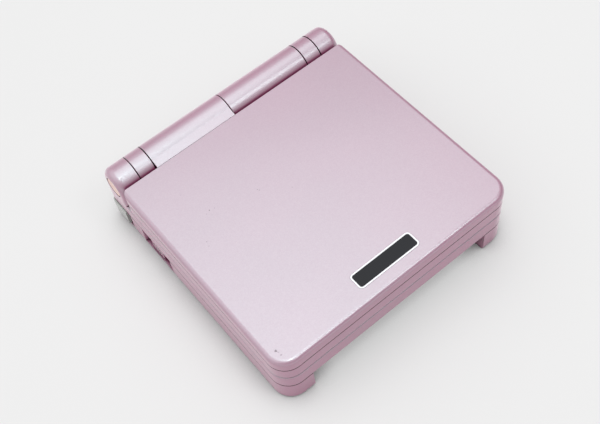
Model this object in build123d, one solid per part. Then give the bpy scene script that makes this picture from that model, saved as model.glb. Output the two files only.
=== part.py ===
from build123d import *
import os
from math import cos, radians, sin, sqrt

# A clamshell handheld game console, closed and lying on its base.
# Millimetres. X runs to the player's right, Y from the front edge to the hinge, Z up from the table.
# The origin is under the middle of the closed console, on the table.

# ---- overall size -------------------------------------------------------------------------
width = 82.0
depth = 84.6
height = 24.3
barrel_radius = round(0.24 * height, 1)
lid_top = height - 1.8      # the barrel stands this much above the lid
lid_split = lid_top - 4.2   # seam between the lid's cover and its frame
base_top_level = round(0.589 * lid_top, 2)      # the face that carries the keys
base_split = round(0.619 * base_top_level, 1)   # seam between the two base mouldings
lid_gap = 0.3               # air between the closed lid and the base

# ---- mouldings ----------------------------------------------------------------------------
wall = 1.4
front_corner = 6.0
lid_rear_corner = 2.5
base_rear_corner = 2.2
lid_edge = 1.5              # rounding round the top of the lid
rim_edge = 0.5              # rounding on both sides of the lid gap
seam_edge = 0.2             # small rounding that draws each seam
bottom_edge = 1.2
floor_thickness = 1.1
fit_gap = 0.1               # between pieces that seat in each other
move_gap = 0.3              # between pieces that sweep past each other

# ---- hinge barrel -------------------------------------------------------------------------
cap_seam = 33.9             # |x| of the seam between a shoulder and its collar
collar_seam = 28.4          # |x| of the seam between a collar and a knuckle
seam_gap = 0.3              # width of a seam across the barrel
barrel_end_edge = base_rear_corner
barrel_air = 1.35           # air between the barrel and the lid's rear edge
knuckle_wall = 1.6
ramp_run = 2.7              # the lid side knuckle slopes down to the lid over this length
plug_radius = 3.3
plug_thickness = 0.8
plug_groove = 0.2           # width of the groove round each end plug
pin_radius = 1.6
running_gap = 0.05
clutch_radius = 3.2
clutch_length = 12.0
lug_length = 3.2
lug_drop = 3.9              # from the hinge axis down to the foot of the lugs

# ---- game card bay ------------------------------------------------------------------------
mouth_half = 31.5
mouth_depth = 9.3
slot_half = 29.4
slot_depth = 34.2
bay_wall = 1.6
roof_thickness = 0.8
roof_drop = 0.2             # how far the bay's ceiling lies under the seam
connector_length = 5.6
contact_count = 32
contact_pitch = 1.5
contact_width = 0.7
contact_thickness = 0.4

# ---- battery ------------------------------------------------------------------------------
battery_width = 45.0
battery_length = depth - 58.6   # what the card bay and the sockets leave
battery_thickness = 5.6
battery_room = 0.5
battery_edge = 0.6
cover_thickness = 1.0
cover_ledge = 2.0
cover_screw_land = 5.0
battery_wall = 1.0

# ---- boards and keys ----------------------------------------------------------------------
board_thickness = 0.8
board_inset = 1.2           # from the inside of the walls
chip_height = 1.1
membrane_thickness = 0.3
key_travel = 0.65
flange_thickness = 0.5
flange_width = 0.8
key_gap = 0.15              # round each key in its hole
key_edge = 0.6
action_key_radius = 4.2
action_key_rise = 0.8
menu_key_radius = 2.1
menu_key_rise = 0.6
light_key_radius = 2.5
action_key_a = (width / 2 - 11.5, 4.0)
action_key_b = (width / 2 - 22.5, -2.0)
menu_key_offset = 6.5
menu_key_y = 11.3 - depth / 2
light_key_y = 17.5
dpad_place = (15.0 - width / 2, 3.0)
dpad_arm = 9.5
dpad_arm_width = 6.4
dpad_rise = 0.4
dpad_gap = 0.4
dpad_flange = 8.2
dpad_ball = 1.2
dome_radius = 1.8
dome_edge = 0.15
dish_radius = 12.4
dish_depth = 0.6
speaker_y = -13.0
speaker_radius = 9.2
grille_slots = 7
grille_pitch = 2.2
grille_slot_width = 1.1
grille_slot_length = 9.0

# ---- screen -------------------------------------------------------------------------------
lens_width = width - 10.0
lens_length = depth - 28.6
lens_y = -6.5
lens_corner = 3.0
lens_recess = 1.0
lens_thickness = 1.0
window_width = width - 19.0
window_length = depth - 41.6
window_ledge = 0.8
guide_thickness = 1.0
panel_width = width - 15.0
panel_length = depth - 34.6
panel_thickness = 2.1
bracket_thickness = 0.3
ribbon_thickness = 0.2

# ---- fasteners ----------------------------------------------------------------------------
screw_radius = 1.0
screw_head_radius = 1.8
screw_head_height = 1.0
screw_head_edge = 0.3
cross_reach = 1.1           # from the middle of the cross slot to its ends
cross_half = 0.2
cross_depth = 0.5
screw_room = 0.05
post_radius = 2.5
case_head_level = 1.0       # the screws in the base are sunk this far
lid_screw_inset_x = 4.1
lid_screw_inset_y = 4.1
pad_radius = 2.3
pad_depth = 1.0

# ---- sliders in the side walls ------------------------------------------------------------
recess_depth = 1.7
recess_bottom = 1.5
recess_slope = 1.4
slider_bottom = 2.6
slider_height = 4.6
slider_proud = 1.3
stem_length = 3.0
stem_height = 1.6
stem_gap = 0.25
switch_depth = 4.4

# ---- shoulder buttons ---------------------------------------------------------------------
shoulder_thickness = 2.1
shoulder_inner_end = 22.0   # |x| where the button starts on the back
shoulder_side_end = depth / 2 - 8.3     # y where it ends on the side
shoulder_proud = 0.5        # how far it stands out of the side
shoulder_edge = 0.4
shoulder_bottom = 2.1
shoulder_pivot_x = 23.6
shoulder_pivot_inset = 2.2
shoulder_pin_radius = 0.8
shoulder_boss_radius = 1.7
shoulder_room = 1.9         # how far the pocket goes in behind the button
pocket_wall = 1.0
spring_wire = 0.3
spring_turns = 4

# ---- sockets in the back ------------------------------------------------------------------
link_width = 16.6
link_x = 0.0
charge_width = 7.6
charge_x = -13.6
socket_bottom = 2.6
socket_length = 8.0
socket_lip = 1.1

# ---- badge on the lid ---------------------------------------------------------------------
badge_length = 21.0
badge_width = 5.2
badge_y = 6.8 - depth / 2
badge_corner = 1.2
badge_rim = 0.45
badge_thickness = 0.4
badge_proud = 0.06

# ---- levels and places that follow ---------------------------------------------------------
half = width / 2
front = -depth / 2
rear = depth / 2
hinge_y = rear - barrel_radius
hinge_z = height - barrel_radius
lug_bottom = hinge_z - lug_drop
trough_radius = barrel_radius + move_gap
cove_radius = barrel_radius + barrel_air
lid_bottom = base_top_level + lid_gap
lid_rear = hinge_y - sqrt(cove_radius**2 - (lid_top - hinge_z)**2)
lid_inside = lid_top - wall
lid_cavity_rear = hinge_y - cove_radius - wall
face_under = base_top_level - wall
base_cavity_rear = hinge_y - trough_radius - wall / 2
slot_top = base_split - roof_drop
roof_top = slot_top + roof_thickness
board_bottom = roof_top + fit_gap
board_top = board_bottom + board_thickness
membrane_top = board_top + membrane_thickness
flange_top = face_under - running_gap
flange_bottom = flange_top - flange_thickness
boss_bottom = membrane_top + key_travel + running_gap
slot_end = front + slot_depth
connector_end = slot_end + connector_length
battery_front = connector_end + battery_wall + battery_room
battery_rear = battery_front + battery_length + 2 * battery_room
cover_front = battery_front - battery_room
cover_rear = battery_rear + cover_screw_land
cover_half = battery_width / 2 + battery_room + cover_ledge
cover_screw_y = battery_rear + cover_screw_land / 2
lens_face = lid_bottom + lens_recess
lens_back = lens_face + lens_thickness
ledge_top = lens_back + window_ledge
guide_back = ledge_top + guide_thickness
panel_back = guide_back + panel_thickness
front_screw = (half - wall - post_radius - 0.7, front + wall + post_radius + 1.9)
middle_screw = (half - wall - post_radius - 1.3, slot_end)
rear_screw = (half - 9.8, hinge_y - 7.0)
case_screw_places = [(side * x, y) for x, y in (front_screw, middle_screw, rear_screw) for side in (-1, 1)]
lid_screw_places = [
    (side * (half - lid_screw_inset_x), y)
    for y in (front + lid_screw_inset_y, lid_rear - lid_screw_inset_y - 0.8)
    for side in (-1, 1)
]
trough_half = cap_seam + seam_gap / 2
ribbon_level = lid_split + 0.4
shoulder_top = base_split - 0.2
shoulder_pivot_y = rear - shoulder_pivot_inset
switch_x = half - 8.0
link_half = link_width / 2
tongue_left = charge_x - charge_width / 2 - 0.8
tongue_right = link_x + link_half + 0.6


# ---- shapes that several pieces share -------------------------------------------------------
def block(x0, x1, y0, y1, z0, z1):
    """A box between two opposite corners."""
    return Pos((x0 + x1) / 2, (y0 + y1) / 2, (z0 + z1) / 2) * Box(x1 - x0, y1 - y0, z1 - z0)


def post(place, radius, z0, z1):
    """An upright round post."""
    return Pos(place[0], place[1], (z0 + z1) / 2) * Cylinder(radius, z1 - z0)


def hinge_round(x0, x1, radius):
    """A cylinder on the hinge axis."""
    return Pos((x0 + x1) / 2, hinge_y, hinge_z) * Rot(0, 90, 0) * Cylinder(radius, x1 - x0)


def outline(half_width, y0, y1, radius0, radius1):
    """A rectangle seen from above, with radius0 at its front corners and radius1 at its rear ones."""
    shape = Pos(0, (y0 + y1) / 2) * Rectangle(2 * half_width, y1 - y0)
    if radius0 > 0:
        shape = fillet(shape.vertices().group_by(Axis.Y)[0], radius0)
    if radius1 > 0:
        shape = fillet(shape.vertices().group_by(Axis.Y)[-1], radius1)
    return shape


def slab(shape, z0, z1):
    """A flat outline raised from z0 to z1."""
    return extrude(Pos(0, 0, z0) * shape, z1 - z0)


def rounded_block(centre, size_x, size_y, radius, z0, z1):
    """A block with round upright corners."""
    return slab(Pos(*centre) * RectangleRounded(size_x, size_y, radius), z0, z1)


def loop_edges(solid, level):
    """The outer edges of the flat face at one level."""
    faces = solid.faces().filter_by(Axis.Z)
    face = faces.sort_by(lambda f: abs(f.center().Z - level))[0]
    return face.outer_wire().edges()


def both_sides(shape):
    """A shape and its mirror image across the middle of the console."""
    return Part() + [shape, mirror(shape, Plane.YZ)]


# ---- lid ------------------------------------------------------------------------------------
def lid_blank(z0, z1, edge0, edge1):
    """The lid's outer form between two levels, coved at the rear round the barrel."""
    blank = slab(outline(half, front, hinge_y, front_corner, 0), z0, z1)
    blank = fillet(loop_edges(blank, z0), edge0)
    blank = fillet(loop_edges(blank, z1), edge1)
    blank -= hinge_round(-half - 1, half + 1, cove_radius)
    return blank & slab(outline(half, front, lid_rear + 0.3, front_corner, lid_rear_corner), z0, z1)


def lid_cavity(z0, z1):
    inner_corner = front_corner - wall
    return slab(outline(half - wall, front + wall, lid_cavity_rear, inner_corner, 1.0), z0, z1)


def lens_outline(extra):
    shape = RectangleRounded(lens_width + 2 * extra, lens_length + 2 * extra, lens_corner + extra)
    return Pos(0, lens_y) * shape


def lid_cover():
    """The outer shell of the lid, open towards the screen."""
    cover = lid_blank(lid_split, lid_top, seam_edge, lid_edge)
    cover -= lid_cavity(lid_split - 1, lid_inside)
    badge_floor = lid_top + badge_proud - badge_thickness
    cover -= slab(badge_outline(fit_gap / 2), badge_floor, lid_top + 1)
    inner = outline(half - wall - fit_gap, front + wall + fit_gap, lid_cavity_rear - fit_gap, front_corner - wall, 1.0)
    for place in lid_screw_places:
        cover += post(place, post_radius - 0.4, ledge_top + 0.3, lid_inside + 0.2) & slab(inner, lid_bottom, lid_top)
    for place in lid_screw_places:
        cover -= post(place, screw_radius + screw_room, ledge_top - 1, lid_inside - 0.6)
    return cover


def lug_notches():
    """Slots in the lid's rear wall for the lugs of the pieces on the barrel."""
    y0 = lid_cavity_rear - 1
    z0 = lug_bottom - fit_gap
    notches = [block(x0 - fit_gap, x1 + fit_gap, y0, hinge_y, z0, lid_split + 1) for x0, x1 in lug_spans()]
    return Part() + notches


def lug_spans():
    """Where along the hinge each lug lies: left collar, lid side knuckle, right collar."""
    collar = (collar_seam + seam_gap + 0.6, cap_seam - seam_gap - 0.6)
    knuckle = (-collar_seam + 2.5, -3.0)
    return [(-collar[1], -collar[0]), knuckle, collar]


def lid_frame():
    """The inner shell of the lid, which frames and carries the screen."""
    frame = lid_blank(lid_bottom, lid_split, rim_edge, seam_edge)
    frame -= lid_cavity(lid_bottom + wall, lid_split + 1)
    frame += slab(lens_outline(wall), lid_bottom + wall - 0.1, ledge_top)
    for place in lid_screw_places:
        frame += post(place, pad_radius + 0.6, lid_bottom + wall - 0.1, ledge_top) & lid_cavity(lid_bottom, lid_split)
    frame -= slab(lens_outline(fit_gap), lid_bottom - 1, lens_back)
    window = RectangleRounded(window_width, window_length, 1.5)
    frame -= slab(Pos(0, lens_y) * window, lid_bottom - 1, ledge_top + 1)
    for place in lid_screw_places:
        head_end = lid_bottom + pad_depth + fit_gap + screw_head_height
        frame -= post(place, pad_radius + fit_gap, lid_bottom - 1, lid_bottom + pad_depth)
        frame -= post(place, screw_head_radius + fit_gap, lid_bottom, head_end)
        frame -= post(place, screw_radius + screw_room, lid_bottom, ledge_top + 1)
    return frame - lug_notches()


def screen_lens():
    """The clear cover glued into the frame."""
    return slab(lens_outline(0), lens_face, lens_back - running_gap)


def light_guide():
    """A clear plate in front of the panel, which spreads the front light."""
    return rounded_block((0, lens_y), panel_width, panel_length, 0.8, ledge_top + running_gap, guide_back)


def light_strip():
    """The strip of lamps along the guide's edge on the hinge side."""
    y0 = lens_y + panel_length / 2 + fit_gap
    bar = block(-panel_width / 2 + 4, panel_width / 2 - 4, y0, y0 + 1.4, ledge_top + running_gap, guide_back)
    lamps = [block(x - 1.2, x + 1.2, y0, y0 + 1.4, guide_back, guide_back + 0.5) for x in (-18, -6, 6, 18)]
    return bar + lamps


def lcd_panel():
    """Two glass plates, the rear one longer towards the hinge to carry the driver contacts."""
    middle = guide_back + fit_gap + panel_thickness / 2
    front_glass = rounded_block((0, lens_y - 1), panel_width, panel_length - 2, 0.5, guide_back + fit_gap, middle)
    rear_glass = rounded_block((0, lens_y), panel_width, panel_length, 0.5, middle, panel_back)
    return front_glass + rear_glass


def lcd_bracket():
    """A pressed steel tray over the back of the panel, folded down its two sides."""
    inner = panel_width / 2 + fit_gap
    y0 = lens_y - panel_length / 2
    y1 = lens_y + panel_length / 2
    outer = inner + bracket_thickness
    back = block(-outer, outer, y0, y1, panel_back + fit_gap, panel_back + fit_gap + bracket_thickness)
    back -= rounded_block((0, lens_y), panel_width - 22, panel_length - 20, 3, panel_back, panel_back + 1)
    sides = both_sides(block(inner, outer, y0, y1, guide_back + 0.2, panel_back + fit_gap + 0.1))
    return back + sides


def screen_gasket():
    """A foam strip round the window that keeps dust off the panel."""
    z0 = panel_back + fit_gap + bracket_thickness + running_gap
    ring = rounded_block((0, lens_y), panel_width - 2, panel_length - 2, 2, z0, lid_inside - running_gap)
    return ring - rounded_block((0, lens_y), panel_width - 8, panel_length - 8, 2, z0 - 1, lid_inside + 1)


def cross_slot(place, z0, z1):
    """The cross recess in a screw's head."""
    x, y = place
    across = block(x - cross_reach, x + cross_reach, y - cross_half, y + cross_half, z0, z1)
    along = block(x - cross_half, x + cross_half, y - cross_reach, y + cross_reach, z0, z1)
    return across + along


def screw(place, head_z, length):
    """A pan head screw that points up, with a cross slot in its head."""
    head = post(place, screw_head_radius, head_z, head_z + screw_head_height)
    head = chamfer(head.edges().group_by(Axis.Z)[0], screw_head_edge)
    shank = post(place, screw_radius, head_z + screw_head_height - 0.05, head_z + length)
    return head + shank - cross_slot(place, head_z - 0.1, head_z + cross_depth)


def lid_screws():
    head_z = lid_bottom + pad_depth + running_gap
    length = lid_inside - 0.8 - head_z
    return Part() + [screw(place, head_z, length) for place in lid_screw_places]


def lid_screw_pads():
    """Soft plugs over the screws. The closed lid rests on them."""
    pads = []
    for place in lid_screw_places:
        pad = post(place, pad_radius, base_top_level + running_gap, lid_bottom + pad_depth)
        pads.append(chamfer(pad.edges().group_by(Axis.Z)[0], 0.4))
    return Part() + pads


def badge_outline(extra):
    shape = RectangleRounded(badge_length + 2 * extra, badge_width + 2 * extra, badge_corner + extra)
    return Pos(0, badge_y) * shape


def badge_frame():
    """The bright rim of the blank name plate."""
    z0 = lid_top + badge_proud - badge_thickness
    plate = slab(badge_outline(0), z0, lid_top + badge_proud)
    return plate - slab(badge_outline(-badge_rim), z0 + 0.15, lid_top + 1)


def badge_face():
    """The dark face inlaid in the name plate."""
    z0 = lid_top + badge_proud - badge_thickness + 0.15
    return slab(badge_outline(-badge_rim - 0.01), z0, lid_top + badge_proud - 0.02)


# ---- hinge ----------------------------------------------------------------------------------
def lug(x0, x1):
    """A tab that reaches from the barrel into the lid's rear wall."""
    return block(x0, x1, lid_cavity_rear, hinge_y - barrel_radius + lug_length, lug_bottom, lid_split - fit_gap)


def barrel_piece(x0, x1, bore):
    """A length of the barrel with a bore and small edges that draw the seams."""
    piece = hinge_round(x0, x1, barrel_radius)
    piece = chamfer(piece.edges().filter_by(GeomType.CIRCLE), seam_edge / 2)
    return piece - hinge_round(x0 - 1, x1 + 1, bore)


def hinge_cable_cover():
    """The lid side knuckle. A flat ramp runs from the barrel down to the lid."""
    x0 = -collar_seam + seam_gap / 2
    x1 = -seam_gap / 2
    cover = hinge_round(x0, x1, barrel_radius)
    foot_y = lid_rear + fit_gap
    crease_y = foot_y + ramp_run - fit_gap
    crease_z = hinge_z + sqrt(barrel_radius**2 - (hinge_y - crease_y)**2)
    profile = [(foot_y, lid_top), (crease_y, crease_z), (crease_y, hinge_z), (foot_y + 0.6, lid_top - 1.6)]
    ramp = Plane.YZ.offset(x0) * make_face(Polyline(*profile, close=True))
    cover += extrude(ramp, x1 - x0)
    cover -= hinge_round(x0 - 1, x1 + 1, barrel_radius - knuckle_wall)
    span = lug_spans()[1]
    return cover + (lug(*span) - hinge_round(x0, x1, barrel_radius - knuckle_wall))


def hinge_collar_left():
    """Turns with the lid on the left hinge pin."""
    collar = barrel_piece(-cap_seam + seam_gap / 2, -collar_seam - seam_gap / 2, pin_radius + running_gap)
    return collar + (lug(*lug_spans()[0]) - hinge_round(-half, 0, pin_radius + running_gap + 1))


def hinge_collar_right():
    """Turns with the lid and holds the clutch of the hinge by two flats."""
    collar = barrel_piece(collar_seam + seam_gap / 2, cap_seam - seam_gap / 2, clutch_radius + fit_gap)
    return collar + (lug(*lug_spans()[2]) - hinge_round(0, half, clutch_radius + fit_gap + 1))


def clutch_span():
    x1 = cap_seam - seam_gap / 2 - 0.3
    return x1 - clutch_length, x1


def hinge_clutch():
    """The cam housing that holds the lid at its stops, with a crimped rim at each end."""
    x0, x1 = clutch_span()
    clutch = hinge_round(x0, x1, clutch_radius)
    for x in (x0 + 1.2, x1 - 6.4):
        groove = hinge_round(x, x + 0.6, clutch_radius + 1) - hinge_round(x, x + 0.6, clutch_radius - 0.3)
        clutch -= groove
    return clutch - hinge_round(x0 + 4, x1 + 1, pin_radius + running_gap)


def hinge_shaft_right():
    """The cam shaft: it turns in the clutch and is held in the right shoulder."""
    x0 = clutch_span()[0] + 4 + fit_gap
    shaft = hinge_round(x0, half - plug_thickness - 1.0, pin_radius)
    return shaft + hinge_round(half - plug_thickness - 1.6, half - plug_thickness - 0.2, pin_radius + 0.8)


def hinge_pin_left():
    """A steel pin pushed in from the left end, on which the left collar turns."""
    pin = hinge_round(-half + plug_thickness + 1.0, -collar_seam + 2.0, pin_radius)
    return pin + hinge_round(-half + plug_thickness + 0.2, -half + plug_thickness + 1.6, pin_radius + 0.8)


def hinge_center_cover():
    """The base side knuckle, held to the base by a foot in the trough."""
    x0 = seam_gap / 2
    x1 = collar_seam - seam_gap / 2
    cover = barrel_piece(x0, x1, barrel_radius - knuckle_wall)
    cover += center_foot(0) - hinge_round(x0, x1, barrel_radius - knuckle_wall)
    return cover - ribbon_channel()


def center_foot(extra):
    """The foot under the base side knuckle, and with extra the socket for it."""
    x0 = tongue_right + 1.2 - extra
    x1 = collar_seam - 1.6 + extra
    z0 = hinge_z - trough_radius - 0.7 - extra
    return block(x0, x1, hinge_y - 3.0 - extra, hinge_y + 3.0 + extra, z0, hinge_z - barrel_radius + 1.0)


def flex_slot():
    """Where along the hinge the screen's ribbon passes into the base."""
    return tongue_right + 2.4, clutch_span()[0] - 0.6


def ribbon_channel():
    """The way for the ribbon: flat from the board to under the barrel, then straight up into it."""
    flat = block(*flex_slot(), base_cavity_rear - 1, hinge_y + 0.4, board_top + 0.15, board_top + 0.75)
    return flat + block(*flex_slot(), hinge_y - 0.4, hinge_y + 0.4, board_top + 0.15, hinge_z)


def ribbon_roll(x0, x1):
    return hinge_round(x0, x1, 2.9) - hinge_round(x0 - 1, x1 + 1, 2.5)


def display_flex():
    """The screen's ribbon on the lid side: a tab into the lid and a roll inside the knuckle."""
    x0, x1 = lug_spans()[1]
    roll = ribbon_roll(x0 + 2, -1.5)
    start = lens_y + panel_length / 2 - 8
    tab = block(x0 + 4, x1 - 4, start, hinge_y - 2.6, ribbon_level, ribbon_level + ribbon_thickness)
    return roll + tab - lcd_space()


def lcd_space():
    """The room that the panel, its tray and the lamp strip fill."""
    x1 = panel_width / 2 + 1
    return block(-x1, x1, lens_y - panel_length / 2 - 1, lens_y + panel_length / 2 + 1.8, lid_bottom, lid_inside)


def ribbon_passage():
    """The slit in the lid's rear wall, the knuckle and its lug for the ribbon."""
    x0, x1 = lug_spans()[1]
    return block(x0 + 3.7, x1 - 3.7, lid_cavity_rear - 4, hinge_y - 2, ribbon_level - move_gap,
                 ribbon_level + ribbon_thickness + move_gap)


def flex_tail():
    """The ribbon on the base side, from the main board up into the base side knuckle."""
    x0, x1 = flex_slot()
    x0, x1 = x0 + 0.4, x1 - 0.4
    level = board_top + 0.35
    run = block(x0, x1, base_cavity_rear - 3, hinge_y + 0.1, level, level + ribbon_thickness)
    rise = block(x0, x1, hinge_y - 0.1, hinge_y + 0.1, level, hinge_z - 2.6)
    return run + rise + ribbon_roll(x0, x1)


def hinge_end_plugs():
    """Press-in discs that close the two ends of the barrel, stepped so that a groove is left round them."""
    face = hinge_round(half - plug_thickness, half - 0.05, plug_radius - plug_groove)
    face = chamfer(face.edges().filter_by(GeomType.CIRCLE).group_by(Axis.X)[-1], seam_edge / 2)
    return both_sides(face + hinge_round(half - plug_thickness, half - 0.6, plug_radius))


# ---- base shells ----------------------------------------------------------------------------
def base_outline(inset):
    """The base seen from above, drawn in by inset."""
    return outline(half - inset, front + inset, rear - inset, front_corner - inset, base_rear_corner - inset)


def key_holes():
    """The holes through the key face, one round each key."""
    holes = [post(place, action_key_radius + key_gap, face_under - 1, lid_top) for place in (action_key_a, action_key_b)]
    for x in (-menu_key_offset, menu_key_offset):
        holes.append(post((x, menu_key_y), menu_key_radius + key_gap, face_under - 1, lid_top))
    holes.append(post((0, light_key_y), light_key_radius + key_gap, face_under - 1, lid_top))
    holes.append(slab(dpad_cross(dpad_gap), face_under - 1, lid_top))
    return Part() + holes


def dpad_cross(extra):
    """The cross of the direction pad seen from above."""
    length = 2 * (dpad_arm + extra)
    breadth = dpad_arm_width + 2 * extra
    cross = Rectangle(length, breadth) + Rectangle(breadth, length)
    outer = cross.vertices().filter_by(lambda v: v.center().length > dpad_arm)
    return Pos(*dpad_place) * fillet(outer, 1.0)


def grille():
    """The slots in front of the speaker, the outer ones shorter."""
    slots = []
    for i in range(grille_slots):
        step = i - (grille_slots - 1) / 2
        length = grille_slot_length - abs(step) * 1.2
        shape = SlotOverall(length, grille_slot_width, rotation=90)
        slots.append(slab(Pos(step * grille_pitch, speaker_y) * shape, face_under - 1, base_top_level + 1))
    return Part() + slots


def shoulder(side, inner_end):
    """The barrel's end on one side, turned about the hinge axis with a round rim."""
    x0, x1 = side * inner_end, side * half
    bend = x1 - side * barrel_end_edge
    low = hinge_z - barrel_radius
    outer = low + barrel_end_edge
    middle = (bend + side * barrel_end_edge * sin(radians(45)), outer - barrel_end_edge * cos(radians(45)))
    edges = [Polyline((x0, hinge_z), (x0, low), (bend, low)), ThreePointArc((bend, low), middle, (x1, outer)),
             Polyline((x1, outer), (x1, hinge_z), (x0, hinge_z))]
    profile = make_face(Plane((0, hinge_y, 0), x_dir=(1, 0, 0), z_dir=(0, -1, 0)) * (Curve() + edges))
    return revolve(profile, Axis((0, hinge_y, hinge_z), (1, 0, 0)))


def cheeks():
    """The upright sides that carry the barrel's two ends, kept clear of the lid's rear edge."""
    plan = Pos(half / 2, hinge_y) * Rectangle(half, 2 * barrel_radius)
    plan = fillet(plan.vertices().group_by(Axis.X)[-1], barrel_end_edge)
    cheek = slab(plan, base_top_level - 1, hinge_z) & block(trough_half, half, front, rear, 0, hinge_z)
    swept = hinge_round(0, half + 1, 2 * cove_radius) - hinge_round(0, half + 1, cove_radius - move_gap - fit_gap)
    return both_sides(cheek - (swept & block(0, half + 1, front, hinge_y, base_top_level, hinge_z)))


def dish():
    """The shallow round hollow in the key face round the direction pad."""
    sphere = (dish_radius**2 + dish_depth**2) / (2 * dish_depth)
    low = base_top_level - dish_depth
    return (Pos(*dpad_place, low + sphere) * Sphere(sphere)) & post(dpad_place, dish_radius + fit_gap, low, lid_bottom)


def base_top():
    """The upper base moulding: the key face, the trough for the barrel and its two shoulders."""
    shell = slab(base_outline(0), base_split, base_top_level)
    shell = fillet(loop_edges(shell, base_split), seam_edge)
    shell = fillet(loop_edges(shell, base_top_level), rim_edge)
    cavity = outline(half - wall, front + wall, base_cavity_rear, front_corner - wall, 1.0)
    shell -= slab(cavity, base_split - 1, face_under)
    for place in case_screw_places:
        shell += post(place, post_radius, base_split, face_under + 0.1)
    shell -= hinge_round(-trough_half, trough_half, trough_radius)
    shell += [shoulder(-1, trough_half), shoulder(1, trough_half), cheeks()]
    shell -= block(tongue_left - fit_gap, tongue_right + fit_gap, base_cavity_rear - 1, rear - wall - 0.3,
                   base_split - 1, board_top + fit_gap)
    shell -= dish()
    shell -= key_holes()
    shell -= grille()
    for place in case_screw_places:
        shell -= post(place, screw_radius + screw_room, base_split - 1, face_under)
    shell -= both_sides(hinge_round(half - plug_thickness, half + 1, plug_radius + fit_gap / 2))
    shell -= both_sides(hinge_round(half - plug_thickness - 1.6, half, pin_radius + 0.8 + fit_gap / 2))
    shell -= both_sides(hinge_round(cap_seam - 1, half, pin_radius + fit_gap / 5))
    shell -= center_foot(fit_gap)
    return shell - ribbon_channel() - led_pipes(fit_gap / 2)


def led_pipes(extra):
    """The two lamp windows in the right wall, and with extra the holes for them."""
    z0 = board_top + 0.4
    pipes = []
    for y in (hinge_y - 19.0, hinge_y - 14.0):
        pipes.append(block(half - wall - 1.6, half + (0.02 if extra == 0 else 1), y - 1.3 - extra, y + 1.3 + extra,
                           z0 - extra, z0 + 1.0 + extra))
    return Part() + pipes


def slider_recess(y0, y1):
    """A scoop in the right wall with a steep rear end and a sloped front end."""
    points = [(half + 1, y1 + 0.4), (half - recess_depth, y1 - 0.4), (half - recess_depth, y0 + recess_slope),
              (half, y0 - 0.2), (half + 1, y0 - 0.6)]
    return extrude(Pos(0, 0, recess_bottom) * make_face(Polyline(*points, close=True)), base_split)


def slider_seat(y0, y1):
    """The thick stretch of the right wall behind a slider."""
    return block(half - recess_depth - wall, half, y0 - 1.5, y1 + 1.5, 0, base_split)


# Each slider: recess from y0 to y1, the knob's middle at rest, its length, and its travel each way along Y.
power_place = {"y0": hinge_y - 24.5, "y1": hinge_y - 12.0, "middle": hinge_y - 20.0, "length": 5.0,
               "back": 0.0, "forth": 3.0}
volume_place = {"y0": hinge_y - 24.8, "y1": hinge_y - 10.6, "middle": hinge_y - 17.3, "length": 6.0,
                "back": 2.8, "forth": 2.8}


def slider_cuts(place):
    """The recess and the slot in the right wall for one slider."""
    y0 = place["middle"] - place["back"] - stem_length / 2 - move_gap
    y1 = place["middle"] + place["forth"] + stem_length / 2 + move_gap
    z0 = stem_bottom() - stem_gap
    slot = block(half - recess_depth - wall - 1, half, y0, y1, z0, z0 + stem_height + 2 * stem_gap)
    return slider_recess(place["y0"], place["y1"]) + slot


def stem_bottom():
    return slider_bottom + slider_height / 2 - stem_height / 2


def slider(place):
    """A knob in the right wall with grip ribs, and the stem that reaches the switch."""
    x0 = half - recess_depth + stem_gap / 2
    y0 = place["middle"] - place["length"] / 2
    y1 = y0 + place["length"]
    knob = block(x0, x0 + slider_proud, y0, y1, slider_bottom, slider_bottom + slider_height)
    knob = fillet(knob.edges().group_by(Axis.X)[-1], 0.4)
    ribs = 5
    for i in range(ribs):
        y = y0 + place["length"] * (i + 1) / (ribs + 1)
        knob -= block(x0 + slider_proud - 0.3, half + 1, y - 0.15, y + 0.15, 0, base_split)
    stem = block(half - recess_depth - wall - 1.0, x0 + 0.1, place["middle"] - stem_length / 2,
                 place["middle"] + stem_length / 2, stem_bottom(), stem_bottom() + stem_height)
    return knob + stem


def slider_body(place):
    """The switch or volume control behind the right wall, hung from the main board."""
    x1 = half - recess_depth - wall - fit_gap
    y0 = place["middle"] - place["back"] - stem_length / 2 - 1.5
    y1 = place["middle"] + place["forth"] + stem_length / 2 + 1.5
    body = block(x1 - switch_depth, x1, y0, y1, stem_bottom() - 1.0, board_bottom - running_gap)
    groove = block(x1 - 1.4, x1 + 1, y0 + 1, y1 - 1, stem_bottom() - stem_gap, stem_bottom() + stem_height + stem_gap)
    return body - groove


def shoulder_region(extra):
    """The space of the right shoulder button seen from above, widened inwards by extra."""
    back = block(shoulder_inner_end - extra / 2, half + 1, rear - shoulder_thickness - extra, rear + 1, 0, base_split)
    side = block(half - shoulder_thickness - extra / 2, half + 1, shoulder_side_end - extra, rear + 1, 0, base_split)
    return back + side


def shoulder_pocket():
    """The open pocket for the right shoulder button, closed above by the upper moulding."""
    return shoulder_region(shoulder_room) & block(0, half + 1, 0, rear + 1, shoulder_bottom - 0.2, base_split)


def shoulder_walls():
    """The inner walls and the floor of the right pocket."""
    thick = shoulder_region(shoulder_room + 2 * pocket_wall)
    return thick & slab(base_outline(0), 0, base_split)


def bay_shell():
    """The walls and floor of the game card bay, which are cut back to the base's outside."""
    x1 = slot_half + bay_wall
    floor = block(-x1, x1, front + mouth_depth, connector_end + battery_wall, 0, base_split)
    x1 = mouth_half + bay_wall
    return floor + block(-x1, x1, front, front + mouth_depth + bay_wall, 0, base_split)


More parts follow.
